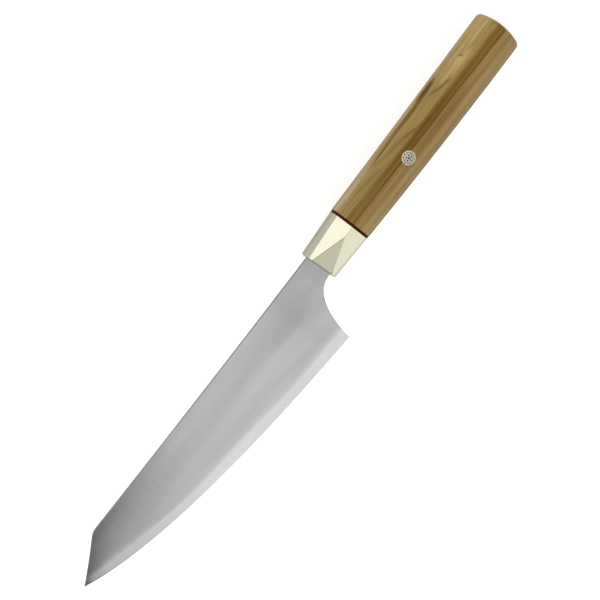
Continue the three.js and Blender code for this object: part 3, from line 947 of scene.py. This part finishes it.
def make_bolster(metal):
    """The metal block in front of the handle, with a flat triangle cut into each side of its front."""
    front = [on_section(BOLSTER_FRONT, rise, z) for rise, z in ring_corners(BOLSTER_FRONT) if rise]
    for side in (1, -1):
        for way in (1, -1):
            steepness = SIDE_SLOPE + way * SIDE_CUT_SLOPE
            lean_share = way * SIDE_CUT_DEPTH * BOLSTER_FRONT["lean"] / (SIDE_CUT_LENGTH * steepness)
            rise = SIDE_CUT_DEPTH / (1 - lean_share) / steepness
            depth = BOLSTER_FRONT["half"] - SIDE_SLOPE * rise
            front.append(on_section(BOLSTER_FRONT, way * rise, side * depth))
    share = SIDE_CUT_LENGTH / (BOLSTER_BACK["x"] - BOLSTER_FRONT["x"])
    ridge = mix(BOLSTER_FRONT["ridge"], BOLSTER_BACK["ridge"], share)
    apex_x = BLADE_LENGTH + SIDE_CUT_LENGTH
    apex = [place(apex_x, ridge, side * BOLSTER_FRONT["half"]) for side in (1, -1)]
    back = [on_section(BOLSTER_BACK, rise, z) for rise, z in ring_corners(BOLSTER_BACK)]
    piece = faceted_block("faceted_bolster", metal, "bolster", "nickel_silver", front, apex + back,
                          BOLSTER_TOP_RIM, BOLSTER_RIM, BOLSTER_EDGE)
    cut_tang_way(piece)
    even_facets(piece)


def make_spacer(fibre):
    """The thin sheet between bolster and wood."""
    front = dict(BOLSTER_BACK, x=BOLSTER_BACK["x"] + GLUE_LINE)
    back = dict(BOLSTER_BACK, x=HANDLE_FRONT["x"] - GLUE_LINE)
    points = [[on_section(s, rise, z) for rise, z in ring_corners(s)] for s in (front, back)]
    piece = faceted_block("red_spacer", fibre, "spacer", "red_fibre", *points,
                          SPACER_EDGE, SPACER_EDGE, SPACER_EDGE)
    cut_tang_way(piece)
    even_facets(piece)


def make_handle(wood):
    """The wooden grip: facets along rings that end on the domed butt, its rim rounded by hand."""
    facet_steps = 5
    length_steps = 24
    beside_rim = 0.985
    rounds_to_dome = 5
    dome_scales = (0.86, 0.7, 0.5, 0.27)
    lengthwise = [k / length_steps for k in range(length_steps)] + [beside_rim, 1.0]
    centre_x = HANDLE_BUTT["x"] - BUTT_DOME_RADIUS
    corner_count = len(ring_corners(HANDLE_FRONT))
    ring_places = [(j, k / facet_steps) for j in range(corner_count) for k in range(facet_steps)]

    def on_ring(place_on_ring, share):
        j, step = place_on_ring
        s = between(share)
        corners = ring_corners(s)
        rise_a, z_a = corners[j]
        rise_b, z_b = corners[(j + 1) % corner_count]
        return s, mix(rise_a, rise_b, step), mix(z_a, z_b, step)

    def dome_x(y, z):
        return centre_x + math.sqrt(BUTT_DOME_RADIUS ** 2 - (y - BUTT_DOME_MIDDLE) ** 2 - z ** 2)

    def rim_share(place_on_ring):
        share = 1.0
        for _ in range(rounds_to_dome):
            s, rise, z = on_ring(place_on_ring, share)
            share = handle_share(dome_x(s["ridge"] + rise, z) + s["lean"] * rise)
        return share

    bm = bmesh.new()
    rims = [(p, rim_share(p)) for p in ring_places]
    rings = []
    for f in lengthwise:
        rings.append([bm.verts.new(on_section(*on_ring(p, f * rim))) for p, rim in rims])
    rim_points = []
    for p, rim in rims:
        s, rise, z = on_ring(p, rim)
        rim_points.append((s["ridge"] + rise, z))
    for scale in dome_scales:
        ring = []
        for y, z in rim_points:
            y = mix(BUTT_DOME_MIDDLE, y, scale)
            ring.append(bm.verts.new(place(dome_x(y, z * scale), y, z * scale)))
        rings.append(ring)
    for a, b in zip(rings, rings[1:]):
        join_rings(bm, a, b)
    bm.faces.new(rings[0])
    crown = bm.verts.new(place(HANDLE_BUTT["x"], BUTT_DOME_MIDDLE))
    for here, following in neighbours(rings[-1]):
        bm.faces.new((here, following, crown))

    weight = bm.edges.layers.float.new(BEVEL_WEIGHT)
    for ring, width in ((rings[len(lengthwise) - 1], BUTT_RIM), (rings[0], SPACER_EDGE)):
        for ends in neighbours(ring):
            bm.edges.get(ends)[weight] = width / BUTT_RIM
    for a, b in zip(rings, rings[1:len(lengthwise)]):
        for j in range(0, len(ring_places), facet_steps):
            bm.edges.get((a[j], b[j]))[weight] = HANDLE_EDGE / BUTT_RIM
    piece = keep("wooden_handle", bm, wood, "handle")
    soften(piece, BUTT_RIM)
    cut(piece, bore_cutter())
    low = (HANDLE_FRONT["x"] - CUT_OVERRUN, TANG_MIDDLE - SLOT_HALF_HEIGHT, -SLOT_HALF_WIDTH)
    cut(piece, box_cutter(low, (SLOT_END, TANG_MIDDLE + SLOT_HALF_HEIGHT, SLOT_HALF_WIDTH)))
    even_facets(piece)


# Mosaic pin

def flush_body(dish):
    """The side facets of the handle round the pin, or a little below them, to grind the pin to."""
    reach = 2 * PIN_RADIUS
    bm = bmesh.new()
    for x in (PIN_CENTRE.x - reach, PIN_CENTRE.x + reach):
        s = between(handle_share(x))
        for rise in (-reach, 0, reach):
            depth = s["half"] - SIDE_SLOPE * abs(rise) - dish
            bm.verts.new(on_section(s, rise, depth))
            bm.verts.new(on_section(s, rise, -depth))
    bmesh.ops.convex_hull(bm, input=bm.verts)
    bmesh.ops.dissolve_limit(bm, angle_limit=CUTTER_FLATNESS, verts=bm.verts, edges=bm.edges)
    return keep("cutter", bm, None)


def round_wall(bm, centre, radius, steps):
    """A round wall from side to side of the handle, and beyond it. Gives its two open rims."""
    ends = HANDLE_BUTT["half"], -HANDLE_BUTT["half"]
    rims = [[bm.verts.new(p) for p in circle_points(centre, radius, steps, end)] for end in ends]
    join_rings(bm, *rims)
    return rims


def pin_bar(name, material, node, centre, radius, steps, bore=0, dish=0, cutters=()):
    """A bar or tube through the handle, ground flush on both sides or dished a little below that."""
    bm = bmesh.new()
    rims = round_wall(bm, centre, radius, steps)
    if bore:
        for rim, bore_rim in zip(rims, round_wall(bm, centre, bore, steps)):
            join_rings(bm, rim, bore_rim)
    else:
        for rim in rims:
            bm.faces.new(rim)
    piece = keep(name, bm, material, node)
    for cutter in cutters:
        cut(piece, cutter)
    cut(piece, flush_body(dish), "INTERSECT")
    piece.data.set_sharp_from_angle(angle=FACET_ANGLE)


def make_pin(brass, silver, pale, dark):
    """A tube filled with straws, one in the middle and two rings round it, set in resin."""
    bore = PIN_RADIUS - PIN_WALL
    pin_bar("pin_outer_wall", brass, "pin_tube", PIN_CENTRE, PIN_RADIUS, PIN_STEPS, bore)
    straws = [("middle", PIN_CENTRE, MIDDLE_STRAW, silver, "pin_silver")]
    for label, ring, straw, metal, slot in (
            ("inner", INNER_RING, INNER_STRAW, silver, "pin_silver"),
            ("outer", OUTER_RING, OUTER_STRAW, brass, "pin_brass")):
        for i in range(ring["count"]):
            angle = ring["turn"] + 2 * math.pi * i / ring["count"]
            centre = PIN_CENTRE + Vector((math.cos(angle), math.sin(angle))) * ring["radius"]
            straws.append((f"{label}_{i + 1:02d}", centre, straw, metal, slot))
    holes = bmesh.new()
    for _, centre, straw, _, _ in straws:
        for rim in round_wall(holes, centre, straw["radius"] + RESIN_GAP, STRAW_STEPS):
            holes.faces.new(rim)
    pin_bar("pin_poured_resin", pale, "pin_resin", PIN_CENTRE, bore - RESIN_GAP, PIN_STEPS,
            dish=RESIN_DISH, cutters=[keep("cutter", holes, None)])
    for label, centre, straw, metal, slot in straws:
        pin_bar(f"straw_{label}", metal, f"pin_{label}_tube", centre,
                straw["radius"], STRAW_STEPS, straw["bore"])
        pin_bar(f"straw_core_{label}", dark, f"pin_{label}_filling", centre,
                straw["bore"] - RESIN_GAP, STRAW_STEPS, dish=RESIN_DISH)


# Floor, light and camera

def make_floor(paper):
    """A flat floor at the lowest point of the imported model."""
    bm = bmesh.new()
    bmesh.ops.create_grid(bm, x_segments=FLOOR_CELLS, y_segments=FLOOR_CELLS, size=FLOOR_SIZE,
                          matrix=Matrix.Translation((0, 0, cad_low.z)))
    keep("paper_floor", bm, paper)


def softbox(name, centre, aim, size, radiance, spin):
    """A soft rectangular lamp that shines from its centre towards a point, both in metres."""
    width, depth = size
    lamp = bpy.data.lights.new(name, "AREA")
    lamp.shape = "RECTANGLE"
    lamp.size = width
    lamp.size_y = depth
    lamp.energy = radiance * math.pi * width * depth
    holder = bpy.data.objects.new(name, lamp)
    holder.location = centre
    facing = (Vector(aim) - Vector(centre)).to_track_quat("-Z", "Y")
    holder.rotation_euler = (facing @ Euler((0, 0, spin)).to_quaternion()).to_euler()
    holder.visible_camera = False
    bpy.context.scene.collection.objects.link(holder)


def light_the_studio():
    """White walls that fade to a grey ceiling, and three softboxes: overhead, in front and behind."""
    world = bpy.data.worlds.new("white_walls")
    bpy.context.scene.world = world
    world.use_nodes = True
    tree = world.node_tree
    outward = add_node(tree, "ShaderNodeTexCoord").outputs["Generated"]
    direction = add_node(tree, "ShaderNodeSeparateXYZ", {0: outward})
    glow = add_node(tree, "ShaderNodeMapRange", {
        "Value": direction.outputs["Z"], "From Min": math.sin(WALLS_END), "From Max": math.sin(CEILING_START),
        "To Min": WALL_RADIANCE, "To Max": CEILING_RADIANCE}, interpolation_type="SMOOTHSTEP")
    background = tree.nodes["Background"]
    background.inputs["Color"].default_value = linear("ffffff")
    tree.links.new(glow.outputs[0], background.inputs["Strength"])
    for box in SOFTBOXES:
        softbox(*box)


def place_camera():
    """A camera that looks at the left face as the photograph does."""
    along = Vector((1, 0, 0))
    across = Vector((0, math.cos(CAMERA_LEAN), -math.sin(CAMERA_LEAN)))
    back = along.cross(across)
    right = along * math.cos(CAMERA_ROLL) - across * math.sin(CAMERA_ROLL)
    up = along * math.sin(CAMERA_ROLL) + across * math.cos(CAMERA_ROLL)
    lens = bpy.data.cameras.new("photo_view")
    lens.lens = CAMERA_LENS
    lens.sensor_width = CAMERA_SENSOR
    camera = bpy.data.objects.new("photo_view", lens)
    stand = place(*PICTURE_MIDDLE) + back * CAMERA_DISTANCE
    camera.matrix_world = Matrix.Translation(stand) @ Matrix((right, up, back)).transposed().to_4x4()
    bpy.context.scene.collection.objects.link(camera)
    bpy.context.scene.camera = camera


place_camera()
light_the_studio()
bpy.context.scene.view_settings.view_transform = "Standard"
make_floor(studio_paper())

make_blade(satin_cladding_steel(), bright_core_steel(), painted_shade_spine_steel())
make_bolster(nickel_silver())
make_spacer(red_fibre())
make_handle(striped_hardwood())
pin_brass = drawn_tube_metal("pale_brass_tube", ("aea78b", "bab39a"))
pin_silver = drawn_tube_metal("white_metal_tube", ("999c98", "a7aaa5"))
dark_resin = cast_resin("dark_pin_resin", ("0a0a09", "131312"), 0.4)[0]
make_pin(pin_brass, pin_silver, pale_pin_resin(), dark_resin)
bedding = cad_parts["tang_bedding"]
bedding.material_slots[0].material = cast_resin("cured_epoxy", ("b0985c", "c0a970"), 0.35)[0]
